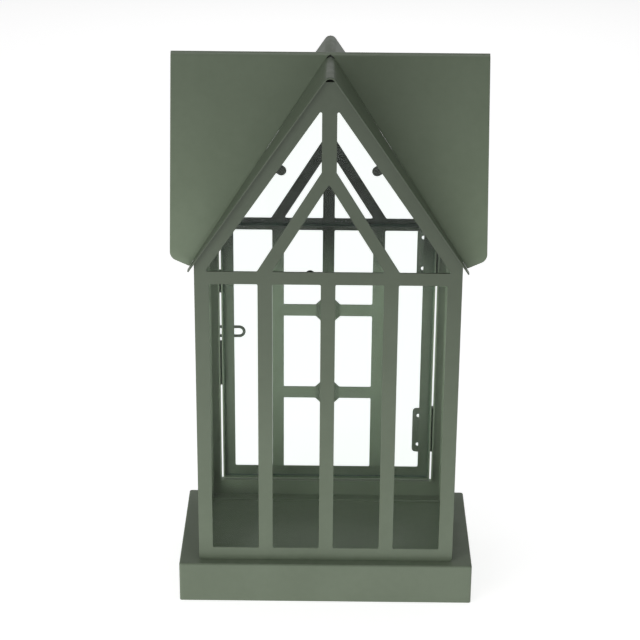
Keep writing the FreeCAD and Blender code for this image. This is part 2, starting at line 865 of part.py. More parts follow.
def make_hook():
    body = new_body("latch_hook")
    path = hook_path(body)
    section = new_sketch(body, "YZ_Plane", -size("hook_short"))
    circle(section, (WIRE_BACK, LEVEL - size("hook_half")), size("hook_wire"))
    wire = body.newObject("PartDesign::AdditivePipe", "latch_hook_wire")
    wire.Profile = section
    wire.Spine = (path, ["Edge1", "Edge4", "Edge2", "Edge5", "Edge3"])
    doc.recompute()
    thick = size("hub_sheet")
    hub = new_sketch(body, "XZ_Plane", thick / 2 - WIRE_BACK)
    circle(hub, PIVOT, size("hub_radius"))
    pad(body, hub, thick, reverse=True)
    hole = new_sketch(body, "XZ_Plane", thick - WIRE_BACK)
    circle(hole, PIVOT, size("rivet_shank") + size("pin_play"))
    pocket(body, hole)


def stepped_pin(label, centre, steps):
    """Pin that stands out of the back, as discs of given radius and length one on another."""
    body = new_body(label)
    base = DEEP
    for radius, length in steps:
        disc = new_sketch(body, "XZ_Plane", -base)
        circle(disc, centre, radius)
        pad(body, disc, length, reverse=True)
        base = base + length
    return body


def make_latch():
    make_hook()
    thick = size("hub_sheet")
    play = size("pin_play") * 2
    collar = size("hook_lift") - thick / 2 - play
    rivet = stepped_pin("latch_rivet", PIVOT, [
        (size("rivet_collar"), collar),
        (size("rivet_shank"), thick + play * 2),
        (size("rivet_head"), thick * 0.8),
    ])
    back = DEEP + collar + thick * 1.8 + play * 2
    fillet(rivet, thick / 3, lambda edge: at(edge, 1, back))
    centre = (-size("catch_reach"), LEVEL + size("catch_rise"))
    catch = stepped_pin("latch_catch", centre, [(size("catch_radius"), size("catch_length"))])
    tip = DEEP + size("catch_length")
    fillet(catch, size("catch_radius") / 2, lambda edge: at(edge, 1, tip))


def make_stop(label, low, high):
    """Plate on the door that laps the frame and keeps the door from being pushed in."""
    body = new_body(label)
    back = DEEP + size("stop_sheet")
    clear = DEEP + size("stop_relief")
    inner, outer = -size("stop_inner"), -size("stop_outer")
    joint = -size("door_half")
    plan = new_sketch(body, "XY_Plane", Dim.of(low))
    loop(plan, [(inner, DEEP), (inner, back), (outer, back), (outer, clear), (joint, clear),
                (joint, DEEP)])
    pad(body, plan, Dim.of(high - low))


# ---------------------------------------------------------------- build, check and write

make_plinth()
make_front_wall()
make_back_wall()
make_door()
make_side_wall("left_wall", -1)
make_side_wall("right_wall", 1)
make_gable_roof("front_gable_roof", -1)
make_gable_roof("back_gable_roof", 1)
make_main_roof()
make_glass()
make_glass_tabs()
make_hinge("upper", size("hinge_high"))
make_hinge("lower", size("hinge_low"))
make_latch()
make_stop("lower_door_stop", 134.4, 173.9)
make_stop("upper_door_stop", 216.1, 236.0)
doc.recompute()

for item in doc.Objects:
    if "Invalid" in item.State or "Error" in item.State:
        raise RuntimeError(f"{item.Name} failed: {item.State}")
for label, name, before, after in cuts:
    if not after < before - 1e-3:
        raise RuntimeError(f"{label}: {name} removed nothing")
for node in nodes:
    if node.Shape.isNull() or not node.Shape.isValid():
        raise RuntimeError(f"{node.Label} has a bad shape")

os.makedirs("parts", exist_ok=True)
for node in nodes:
    node.Shape.exportStep(f"parts/{node.Label}.step")
    print(f"{node.Label:24s} {len(node.Shape.Solids)} solids {node.Shape.Volume:10.1f} mm3")
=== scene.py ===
"""Looks of a house-shaped glass cloche: folded painted sheet, clear panes and a hook latch.

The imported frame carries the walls, door, glass, plinth and hinges. This script paints them, and
works out the bent roof sheets, the latch wire and the small turned pins as finished surfaces.
Lengths are metres, +Z is up, and the fixed window wall faces -Y.
"""

import logging
import math
from dataclasses import dataclass, field
from enum import Enum
from typing import Any, Mapping, Sequence

import bpy
import numpy as np
from mathutils import Matrix, Vector


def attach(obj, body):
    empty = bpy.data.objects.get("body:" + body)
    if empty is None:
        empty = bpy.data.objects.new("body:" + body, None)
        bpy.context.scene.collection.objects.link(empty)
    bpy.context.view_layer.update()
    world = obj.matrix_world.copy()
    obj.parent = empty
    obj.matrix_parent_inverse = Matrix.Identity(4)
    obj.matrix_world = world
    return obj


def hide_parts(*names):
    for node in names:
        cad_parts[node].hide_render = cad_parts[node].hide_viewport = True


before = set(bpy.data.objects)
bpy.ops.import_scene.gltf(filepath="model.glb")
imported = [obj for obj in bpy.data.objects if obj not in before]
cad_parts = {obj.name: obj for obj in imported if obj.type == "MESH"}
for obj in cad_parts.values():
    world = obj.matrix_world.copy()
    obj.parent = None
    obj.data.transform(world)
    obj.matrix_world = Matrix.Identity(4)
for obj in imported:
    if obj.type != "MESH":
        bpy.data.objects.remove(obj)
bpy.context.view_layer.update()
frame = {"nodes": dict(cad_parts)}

LOG = logging.getLogger("cloche")
MM = 0.001
Colour = tuple[float, float, float]
Point = tuple[float, float, float]


class Facing(Enum):
    """The two ends of the house, with the sign of Y that each one faces."""

    FRONT = -1
    BACK = 1


class Body(str, Enum):
    """The bodies that a piece can ride on."""

    HOUSE = "house"
    DOOR = "door"
    HOOK = "hook"


# ------------------------------------------------------------------ shader graph


class Signal:
    """A node's output that takes part in arithmetic, which adds Math nodes to its graph."""

    def __init__(self, graph: "Graph", socket: bpy.types.NodeSocket) -> None:
        """Keep the graph and the socket.

        Args:
            graph: Graph that owns the socket's node.
            socket: Output socket that carries a number.
        """
        self.graph = graph
        self.socket = socket

    def _with(self, operation: str, first: Any, second: Any = None, clamp: bool = False) -> "Signal":
        """Add one Math node.

        Args:
            operation: Math operation.
            first: Value or signal of the first input.
            second: Value or signal of the second input, if it has one.
            clamp: Whether the result is held between 0 and 1.

        Returns:
            The node's result.
        """
        values = {0: first} if second is None else {0: first, 1: second}
        return self.graph.add("Math", {"operation": operation, "use_clamp": clamp}, values)

    def __add__(self, other: Any) -> "Signal":
        """Sum."""
        return self._with("ADD", self, other)

    def __sub__(self, other: Any) -> "Signal":
        """Difference."""
        return self._with("SUBTRACT", self, other)

    def __mul__(self, other: Any) -> "Signal":
        """Product."""
        return self._with("MULTIPLY", self, other)

    def __pow__(self, other: Any) -> "Signal":
        """Power."""
        return self._with("POWER", self, other)

    def __rsub__(self, other: Any) -> "Signal":
        """Difference with the signal taken away."""
        return self._with("SUBTRACT", other, self)

    __radd__ = __add__
    __rmul__ = __mul__

    def clamped(self) -> "Signal":
        """The signal held between 0 and 1."""
        return self._with("ADD", self, 0.0, clamp=True)

    def between(self, low: float, high: float) -> "Signal":
        """Smooth step of the signal.

        Args:
            low: Value that gives 0.
            high: Value that gives 1.

        Returns:
            The stepped signal.
        """
        ends = {"From Min": low, "From Max": high, "Value": self}
        return self.graph.add("MapRange", {"interpolation_type": "SMOOTHSTEP"}, ends, "Result")


class Graph:
    """The node tree of a material or a surround, filled one node at a time."""

    def __init__(self, owner: bpy.types.Material | bpy.types.World) -> None:
        """Empty the owner's tree.

        Args:
            owner: Material or world to fill.
        """
        owner.use_nodes = True
        self.owner = owner
        self.tree = owner.node_tree
        self.tree.nodes.clear()

    @classmethod
    def material(cls, name: str) -> "Graph":
        """Start a material with an empty tree."""
        return cls(bpy.data.materials.new(name))

    def add(self, kind: str, settings: Mapping[str, Any] | None = None,
            values: Mapping[Any, Any] | None = None, output: Any = 0) -> Signal:
        """Add a node, set its options, then fill its inputs.

        Args:
            kind: Node type without its ShaderNode prefix.
            settings: Options set before the inputs, as attribute names and values.
            values: Inputs by name or number, each a number, a tuple or a signal.
            output: Name or number of the output to return.

        Returns:
            The chosen output.
        """
        node = self.tree.nodes.new("ShaderNode" + kind)
        for key, setting in (settings or {}).items():
            if key == "stops":
                self._set_stops(node.color_ramp, setting)
            else:
                setattr(node, key, setting)
        for key, value in (values or {}).items():
            socket = node.inputs[key]
            if isinstance(value, Signal):
                self.tree.links.new(value.socket, socket)
            elif isinstance(value, tuple) and socket.type == "RGBA":
                socket.default_value = (*value[:3], 1.0)
            else:
                socket.default_value = value
        return Signal(self, node.outputs[output])

    @staticmethod
    def _set_stops(ramp: bpy.types.ColorRamp, stops: Sequence[tuple[float, Colour]]) -> None:
        """Give a colour ramp its stops.

        Args:
            ramp: Ramp to fill.
            stops: Positions with their colours, in rising order.
        """
        while len(ramp.elements) < len(stops):
            ramp.elements.new(1.0)
        for element, (place, colour) in zip(ramp.elements, stops):
            element.position = place
            element.color = (*colour, 1.0)

    def noise(self, where: Signal, scale: float, detail: float = 2.0, rough: float = 0.5) -> Signal:
        """Cloudy noise between 0 and 1.

        Args:
            where: Coordinates.
            scale: Cells in a metre.
            detail: Number of finer layers.
            rough: Strength of each finer layer.

        Returns:
            The noise.
        """
        values = {"Vector": where, "Scale": scale, "Detail": detail, "Roughness": rough}
        return self.add("TexNoise", {}, values, "Fac")

    def blend(self, mask: Signal | float, first: Any, second: Any) -> Signal:
        """Mix two colours by a mask.

        Args:
            mask: Share of the second colour.
            first: Colour where the mask is 0.
            second: Colour where the mask is 1.

        Returns:
            The mixed colour.
        """
        return self.add("Mix", {"data_type": "RGBA"}, {0: mask, 6: first, 7: second}, 2)

    def finish(self, shader: Signal) -> bpy.types.Material | bpy.types.World:
        """Connect the surface output.

        Args:
            shader: Shader of the surface.

        Returns:
            The finished material or world.
        """
        kind = "World" if isinstance(self.owner, bpy.types.World) else "Material"
        out = self.tree.nodes.new("ShaderNodeOutput" + kind)
        self.tree.links.new(shader.socket, out.inputs["Surface"])
        return self.owner


# ------------------------------------------------------------------ finishes


@dataclass(frozen=True)
class SatinPaint:
    """Sprayed satin paint over sheet metal, with soft edges, thin spots, settled dust and painted light and
    shade by height.
    """

    name: str
    colour: Colour
    shade: Colour
    worn: Colour = (0.235, 0.235, 0.2)
    dust: Colour = (0.33, 0.34, 0.31)
    roughness: float = 0.43
    edge_round: float = 0.45 * MM
    wear: float = 0.35
    dustiness: float = 0.1
    peel: float = 0.12
    # Painted light and shade: an outdoor factor by height, an indoor factor by height inside the walls, and
    # painted shade on faces that look down.
    outdoor_light_heights: tuple[float, float] = (0.0, 0.4)
    outdoor_painted_light: tuple[float, float] = (1.12, 0.57)
    indoor_painted_light: tuple[float, float] | None = (1.9, 0.18)
    indoor_light_heights: tuple[float, float] = (0.21, 0.285)
    wall_face: tuple[float, float] = (0.0536, 0.0543)
    end_face: tuple[float, float] = (0.099, 0.0998)
    underside_painted_shade: float = 1.0

    def painted_light_factor(self, graph: Graph, where: Signal, up: Signal) -> Signal:
        """Painted light and shade for the coat: lighter at the foot and darker with height, out of doors
        and in.

        Inside the walls the painted light drops from bright low down to dark painted shade in the gable,
        between two heights. A sheet without indoor painted light keeps its outdoor factor, and faces that
        look down get painted shade of their own.

        Args:
            graph: Node tree to build in.
            where: Object coordinates.
            up: Upward part of the surface's normal.

        Returns:
            Factor of painted light and shade for the colour.
        """
        rise = graph.add("SeparateXYZ", {}, {0: where}, "Z")
        # Painted light outdoors: lighter at the foot, darker with height.
        low, high = self.outdoor_painted_light
        outside = rise.between(*self.outdoor_light_heights) * (high - low) + low
        # Painted shade on faces that look down.
        under_shade = (up * -1.0).between(0.1, 0.3) * (self.underside_painted_shade - 1.0) + 1.0
        if self.indoor_painted_light is None:
            return outside * under_shade
        # Painted light indoors: bright low down, dark painted shade in the gable.
        bright, dark = self.indoor_painted_light
        inside = rise.between(*self.indoor_light_heights) * (dark - bright) + bright
        depth = graph.add("Math", {"operation": "ABSOLUTE"},
                          {0: graph.add("SeparateXYZ", {}, {0: where}, "Y")})
        width = graph.add("Math", {"operation": "ABSOLUTE"},
                          {0: graph.add("SeparateXYZ", {}, {0: where}, "X")})
        # Outdoor painted light on the outer wall and end faces, indoor painted light inside them.
        outer = (depth.between(*self.wall_face) + width.between(*self.end_face)).clamped()
        return (inside + (outside - inside) * outer) * under_shade

    def material(self) -> bpy.types.Material:
        """Build the paint's material.

        Returns:
            The material.
        """
        graph = Graph.material(self.name)
        where = graph.add("TexCoord", output="Object")
        facing = graph.add("NewGeometry", output="Normal")
        rounded = graph.add("Bevel", {"samples": 6}, {"Radius": self.edge_round})
        turn = graph.add("VectorMath", {"operation": "DOT_PRODUCT"}, {0: rounded, 1: facing}, "Value")
        edge = (1.0 - turn).between(0.02, 0.25)
        cloud = graph.noise(where, 14.0, 3.0)
        mottle = graph.noise(where, 160.0, 4.0, 0.6)
        scuffs = graph.noise(where, 55.0, 6.0, 0.7)
        up = graph.add("SeparateXYZ", {}, {0: facing}, "Z")
        # Painted light and shade by height and facing, which scale the paint colour below.
        painted_light_factor = self.painted_light_factor(graph, where, up)
        tone = (cloud * 0.7 + mottle * 0.3).between(0.3, 0.72)
        colour = graph.blend(tone, self.shade, self.colour)
        colour = graph.blend(edge * scuffs.between(0.35, 0.75) * self.wear, colour, self.worn)
        settled = up.between(0.55, 0.98) * mottle.between(0.35, 0.75) * self.dustiness
        colour = graph.blend(settled, colour, self.dust)
        colour = graph.add("VectorMath", {"operation": "SCALE"}, {0: colour, "Scale": painted_light_factor}, "Vector")
        fine = graph.noise(where, 620.0, 2.0)
        speck = graph.noise(where, 2400.0, 1.0)
        height = fine * 0.75 + speck * 0.25
        bump = graph.add("Bump", {}, {"Strength": self.peel, "Distance": 0.12 * MM,
                                      "Height": height, "Normal": rounded})
        rough = (mottle - 0.5) * 0.16 + settled * 1.2 + (self.roughness - 0.02) + edge * -0.05
        return graph.finish(graph.add("BsdfPrincipled", {}, {
            "Base Color": colour, "Roughness": rough.clamped(), "Normal": bump,
            "Specular IOR Level": 0.45, "IOR": 1.5}))


@dataclass(frozen=True)
class ClearGlass:
    """Thin clear float glass with a faint green body, wipe marks and a polished edge."""

    name: str
    flat_axis: int
    body: Colour = (0.985, 0.996, 0.99)
    edge: Colour = (0.3, 0.52, 0.43)
    film: Colour = (0.8, 0.84, 0.82)
    sheen: float = 0.9
    head_on: float = 0.034
    marks: float = 0.006
    edge_film: float = 0.2
    grazing_power: float = 5.0
    straight_on: float = 0.04

    def material(self) -> bpy.types.Material:
        """Build the pane's material.

        Returns:
            The material.
        """
        graph = Graph.material(self.name)
        where = graph.add("TexCoord", output="Object")
        facing = graph.add("TexCoord", output="Normal")
        flat = graph.add("SeparateXYZ", {}, {0: facing}, self.flat_axis)
        side = 1.0 - graph.add("Math", {"operation": "ABSOLUTE"}, {0: flat})
        wipes = graph.add("Mapping", {}, {"Vector": where, "Scale": (20.0, 20.0, 9.0),
                                          "Rotation": (0.3, 0.25, 0.0)})
        smear = graph.noise(wipes, 1.6, 5.0, 0.65).between(0.45, 0.8)
        clear = graph.add("BsdfTransparent", {}, {"Color": self.body})
        green = graph.add("BsdfTransparent", {}, {"Color": self.edge})
        clear = graph.add("MixShader", {}, {0: side, 1: clear, 2: green})
        gloss = graph.add("BsdfGlossy", {}, {"Color": (1.0, 1.0, 1.0), "Roughness": smear * 0.08 + 0.015})
        film = graph.add("BsdfDiffuse", {}, {"Color": self.film})
        glance = graph.add("LayerWeight", {}, {"Blend": 0.5}, "Facing") ** self.grazing_power
        share = glance * (1.0 - self.straight_on) + self.straight_on
        share = (share - self.head_on).clamped() * self.sheen
        pane = graph.add("MixShader", {}, {0: share, 1: clear, 2: gloss})
        return graph.finish(graph.add("MixShader", {}, {0: smear * self.marks + side * self.edge_film,
                                                        1: pane, 2: film}))


@dataclass(frozen=True)
class PaintedWire(SatinPaint):
    """The same paint on wire and turned pins, rubbed where the pieces slide on each other."""

    rub_scale: float = 260.0

    def material(self) -> bpy.types.Material:
        """Build the wire's material.

        Returns:
            The material.
        """
        graph = Graph.material(self.name)
        where = graph.add("TexCoord", output="Object")
        rubbed = graph.noise(where, self.rub_scale, 5.0, 0.65).between(0.52, 0.8) * self.wear
        cloud = graph.noise(where, 90.0, 3.0)
        colour = graph.blend(cloud, self.shade, self.colour)
        colour = graph.blend(rubbed, colour, self.worn)
        bump = graph.add("Bump", {}, {"Strength": self.peel, "Distance": 0.08 * MM,
                                      "Height": graph.noise(where, 1400.0, 2.0)})
        return graph.finish(graph.add("BsdfPrincipled", {}, {
            "Base Color": colour, "Roughness": rubbed * -0.12 + self.roughness,
            "Metallic": rubbed * 0.6, "Normal": bump, "Specular IOR Level": 0.5}))


@dataclass(frozen=True)
class FloorCard:
    """Matt white studio paper."""

    name: str = "studio_paper"
    colour: Colour = (0.7, 0.7, 0.7)
    glow: float = 0.76
    grain: float = 900.0
    matt: float = 0.9

    def material(self) -> bpy.types.Material:
        """Build the floor's material.

        Returns:
            The material.
        """
        graph = Graph.material(self.name)
        grain = graph.noise(graph.add("TexCoord", output="Object"), self.grain, 2.0)
        bump = graph.add("Bump", {}, {"Strength": 0.05, "Distance": 0.1 * MM, "Height": grain})
        return graph.finish(graph.add("BsdfPrincipled", {}, {
            "Base Color": self.colour, "Roughness": self.matt, "Normal": bump,
            "Emission Color": (1.0, 1.0, 1.0), "Emission Strength": self.glow}))


SAGE = (0.155, 0.194, 0.134)
SAGE_SHADE = (0.133, 0.168, 0.113)
# Sheet and tab paints carry the default painted light: 12% lighter at the foot, 43% darker at 0.4 m, and
# inside the walls almost twice as light low down with dark painted shade in the gable.
SHEET_PAINT = SatinPaint("sage_paint", SAGE, SAGE_SHADE)
# Main roof: painted light, up to 35% lighter towards the eaves and 5% darker at the ridge, with painted
# shade on faces that look down.
ROOF_PAINT_PAINTED_LIGHT = SatinPaint("roof_paint_painted_light", SAGE, SAGE_SHADE, outdoor_light_heights=(0.28, 0.43), outdoor_painted_light=(1.35, 0.95),
                        indoor_painted_light=None, underside_painted_shade=0.3)
# Gable roofs: painted shade, 35% darker all over and darker still on faces that look down.
GABLE_PAINT_PAINTED_SHADE = SatinPaint("gable_roof_paint_painted_shade", SAGE, SAGE_SHADE, outdoor_painted_light=(0.65, 0.65), indoor_painted_light=None,
                         underside_painted_shade=0.4)
TAB_PAINT = SatinPaint("tab_paint", (0.14, 0.173, 0.125), (0.118, 0.147, 0.104), wear=0.2)
WIRE_PAINT = PaintedWire("wire_paint", (0.135, 0.16, 0.12), (0.105, 0.127, 0.094), wear=0.5,
                         worn=(0.33, 0.33, 0.31), roughness=0.38)


# ------------------------------------------------------------------ surfaces


def grid_faces(rows: int, columns: int, wrap: bool = False) -> np.ndarray:
    """Quads of a grid whose points run row by row.

    Args:
        rows: Number of rows.
        columns: Number of points in a row.
        wrap: Whether the last column joins the first.

    Returns:
        Whole array of point numbers, four to a face.
    """
    across = columns if wrap else columns - 1
    row, column = np.meshgrid(np.arange(rows - 1), np.arange(across), indexing="ij")
    near, far = row * columns, (row + 1) * columns
    after = (column + 1) % columns
    return np.stack([near + column, near + after, far + after, far + column], -1).reshape(-1, 4)


def make_object(name: str, points: np.ndarray, faces: Sequence[Sequence[int]],
                material: bpy.types.Material, smooth_angle: float | None = None) -> bpy.types.Object:
    """Put points and faces into a mesh object at the origin.

    Args:
        name: Object name.
        points: Array of shape (n, 3), in metres.
        faces: Point numbers of each face.
        material: Material of the whole piece.
        smooth_angle: Crease angle in degrees, or None for flat faces.

    Returns:
        The object.
    """
    mesh = bpy.data.meshes.new(name)
    mesh.from_pydata(points.reshape(-1, 3).tolist(), [], [list(map(int, face)) for face in faces])
    mesh.materials.append(material)
    if smooth_angle is not None:
        mesh.polygons.foreach_set("use_smooth", np.ones(len(mesh.polygons), dtype=bool))
    piece = bpy.data.objects.new(name, mesh)
    bpy.context.scene.collection.objects.link(piece)
    if smooth_angle is not None:
        mesh.set_sharp_from_angle(angle=math.radians(smooth_angle))
    return piece


def settle(piece: bpy.types.Object, body: Body, slot: str, *stands_for: str) -> None:
    """Tie a finished piece to its body and hide the nodes it stands for.

    Args:
        piece: The piece.
        body: Body that it rides on.
        slot: Not used.
        stands_for: CAD nodes that it replaces.
    """
    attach(piece, body.value)
    if stands_for:
        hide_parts(*stands_for)
    LOG.info("%s rides on %s", piece.name, body.value)


def add_modifier(piece: bpy.types.Object, kind: str, **settings: Any) -> None:
    """Add a modifier with its settings.

    Args:
        piece: Object to modify.
        kind: Modifier type.
        settings: Attribute values.
    """
    modifier = piece.modifiers.new(kind.lower(), kind)
    for key, value in settings.items():
        setattr(modifier, key, value)


@dataclass(frozen=True)
class Ridge:
    """Section of a sheet bent over a ridge: two planes joined by an arc they touch."""

    peak: float
    slope: float
    radius: float

    def height(self, run: np.ndarray) -> np.ndarray:
        """Height over the run from the ridge line.

        Inside the arc's half width the height is the circle's, centre height plus the root of
        radius squared less run squared. Outside it, it is the peak less slope times run.

        Args:
            run: Signed distances from the ridge line.

        Returns:
            Heights.
        """
        lean = math.atan(self.slope)
        half = self.radius * math.sin(lean)
        centre = self.peak - self.slope * half - self.radius * math.cos(lean)
        arc = centre + np.sqrt(np.maximum(self.radius**2 - run**2, 0.0))
        return np.where(np.abs(run) < half, arc, self.peak - self.slope * np.abs(run))


@dataclass
class Roof:
    """The main sheet along X and the two gable sheets mitred into it."""

    main: Ridge = Ridge(439.65 * MM, 3.0, 4.0 * MM)
    gable: Ridge = Ridge(432.0 * MM, 1.46, 5.0 * MM)
    sheet: float = 1.0 * MM
    half_length: float = 118.0 * MM
    eave: float = 281.0 * MM
    clip_start: float = 103.0 * MM
    clip_rise: float = 6.0 * MM
    corner: float = 4.0 * MM
    gable_half: float = 104.8 * MM
    gable_front: float = 59.0 * MM
    dent: float = 0.22 * MM
    dent_fade: float = 12 * MM
    edge_round: float = 0.28 * MM
    paint: bpy.types.Material | None = None
    # Copy of the paint with painted shade, for the gable sheets.
    gable_paint_painted_shade: bpy.types.Material | None = None

    def valley(self, run: np.ndarray) -> np.ndarray:
        """Distance of the valley from the main ridge, a straight line in the run from the middle."""
        start = (self.main.peak - self.gable.peak) / self.main.slope
        return start + np.abs(run) * self.gable.slope / self.main.slope

    def low_edge(self, run: np.ndarray) -> np.ndarray:
        """Height of the main sheet's lower edge.

        Level, then a straight rise towards the end, then a quarter round at the corner.

        Args:
            run: Distances from the middle, along the ridge.

        Returns:
            Heights.
        """
        past = np.clip((np.abs(run) - self.clip_start) / (self.half_length - self.clip_start), 0, 1)
        turn = np.clip(np.abs(run) - (self.half_length - self.corner), 0, self.corner)
        quarter = self.corner - np.sqrt(np.maximum(self.corner**2 - turn**2, 0.0))
        return self.eave + self.clip_rise * past + quarter

    def hand_bent(self, along: np.ndarray, down: np.ndarray, phase: float) -> np.ndarray:
        """Shallow waves that thin sheet keeps from the bending brake.

        The product of two sines, along the ridge and down the slope, faded out at the ridge.

        Args:
            along: Distances along the ridge.
            down: Distances from the ridge, never negative.
            phase: Shift that makes each sheet differ.

        Returns:
            Offsets along the sheet's normal.
        """
        fade = np.clip(down / self.dent_fade, 0, 1)
        wave = np.sin(along * 47.0 + phase) * np.sin(down * 58.0 + phase * 2.3)
        return self.dent * fade * (wave + 0.5 * np.sin(along * 113.0 - down * 31.0 + phase))

    def finish(self, name: str, points: np.ndarray, flip: bool, node: str) -> None:
        """Give a sheet its faces, thickness and softened edges.

        Args:
            name: Piece name.
            points: Grid of outer surface points.
            flip: Whether the faces have to be turned to point outwards.
            node: CAD node that the sheet stands for.
        """
        faces = grid_faces(*points.shape[:2])
        paint = self.paint if node == "main_roof" else self.gable_paint_painted_shade
        piece = make_object(name, points, faces[:, ::-1] if flip else faces, paint, 35.0)
        add_modifier(piece, "SOLIDIFY", thickness=self.sheet, offset=-1.0)
        add_modifier(piece, "BEVEL", width=self.edge_round, segments=2, limit_method="ANGLE",
                     angle_limit=math.radians(50))
        settle(piece, Body.HOUSE, "green_paint", node)

    def build_main(self) -> None:
        """Main sheet: for each place along the ridge, the run from it is a power of the row."""
        along = self.half_length * np.sin(np.linspace(-1, 1, 181) * math.pi / 2)
        row = np.linspace(-1, 1, 91)
        share = np.sign(row) * np.abs(row) ** 2.0
        reach = np.minimum(self.valley(along), (self.main.peak - self.low_edge(along)) / self.main.slope)
        x = np.repeat(along[:, None], row.size, 1)
        y = reach[:, None] * share[None, :]
        lean = math.hypot(1.0, self.main.slope)
        push = self.hand_bent(x, np.abs(y), 0.6)
        z = self.main.height(y) + push / lean
        y = y + np.sign(y) * push * self.main.slope / lean
        self.finish("roof_main_sheet", np.stack([x, y, z], -1), True, "main_roof")

    def build_gable(self, facing: Facing) -> None:
        """Gable sheet: rows run from the valley to the front edge.

        Args:
            facing: End of the house that it covers.
        """
        share = np.linspace(-1, 1, 121)
        across = self.gable_half * np.sign(share) * np.abs(share) ** 1.7
        row = np.linspace(0, 1, 25)
        start = self.valley(across)
        x = np.repeat(across[:, None], row.size, 1)
        y = start[:, None] + (self.gable_front - start)[:, None] * row[None, :]
        lean = math.hypot(1.0, self.gable.slope)
        push = self.hand_bent(y, np.abs(x), 2.0 + facing.value) * 0.7
        z = self.gable.height(x) + push / lean
        x = x + np.sign(x) * push * self.gable.slope / lean
        name = facing.name.lower()
        points = np.stack([x, y * facing.value, z], -1)
        self.finish(f"roof_{name}_sheet", points, facing is Facing.BACK, f"{name}_gable_roof")

    def build(self) -> None:
        """Build all three sheets."""
        self.build_main()
        for facing in Facing:
            self.build_gable(facing)


def turned(name: str, profile: np.ndarray, centre: Point, axis: int, material: bpy.types.Material,
           sides: int = 40) -> bpy.types.Object:
    """Round piece: a profile of radius and height carried round an axis.

    Each point is the centre plus radius times the cosine and sine of the turn, plus its height
    along the axis. A profile starts and ends on the axis, so both poles are closed.

    Args:
        name: Piece name.
        profile: Array of (radius, height) from the lower pole to the upper one.
        centre: Point of height 0 on the axis.
        axis: Axis number, 1 for Y and 2 for Z.
        material: Material of the piece.
        sides: Number of points round the axis.

    Returns:
        The object.
    """
    angle = np.linspace(0, 2 * math.pi, sides, endpoint=False)
    radius, height = profile[1:-1, 0], profile[1:-1, 1]
    points = np.empty((radius.size, sides, 3))
    first, second = [number for number in range(3) if number != axis]
    points[..., first] = radius[:, None] * np.cos(angle)
    points[..., second] = radius[:, None] * np.sin(angle)
    points[..., axis] = height[:, None]
    poles = np.zeros((2, 3))
    poles[:, axis] = profile[[0, -1], 1]
    everything = np.concatenate([points.reshape(-1, 3), poles]) + np.array(centre)
    faces = grid_faces(radius.size, sides, wrap=True).tolist()
    low, high = len(everything) - 2, len(everything) - 1
    last = (radius.size - 1) * sides
    for step in range(sides):
        after = (step + 1) % sides
        faces.append([after, step, low])
        faces.append([last + step, last + after, high])
    if axis == 1:
        faces = [face[::-1] for face in faces]
    return make_object(name, everything, faces, material, 40.0)


def dome(radius: float, rise: float, base: float, steps: int = 7) -> np.ndarray:
    """Quarter ellipse from a rim to the axis.

    Args:
        radius: Rim radius.
        rise: Height of the dome over its rim, negative for one that hangs down.
        base: Height of the rim.
        steps: Number of points.

    Returns:
        Array of (radius, height).
    """
    angle = np.linspace(0, math.pi / 2, steps)
    return np.stack([radius * np.cos(angle), base + rise * np.sin(angle)], -1)


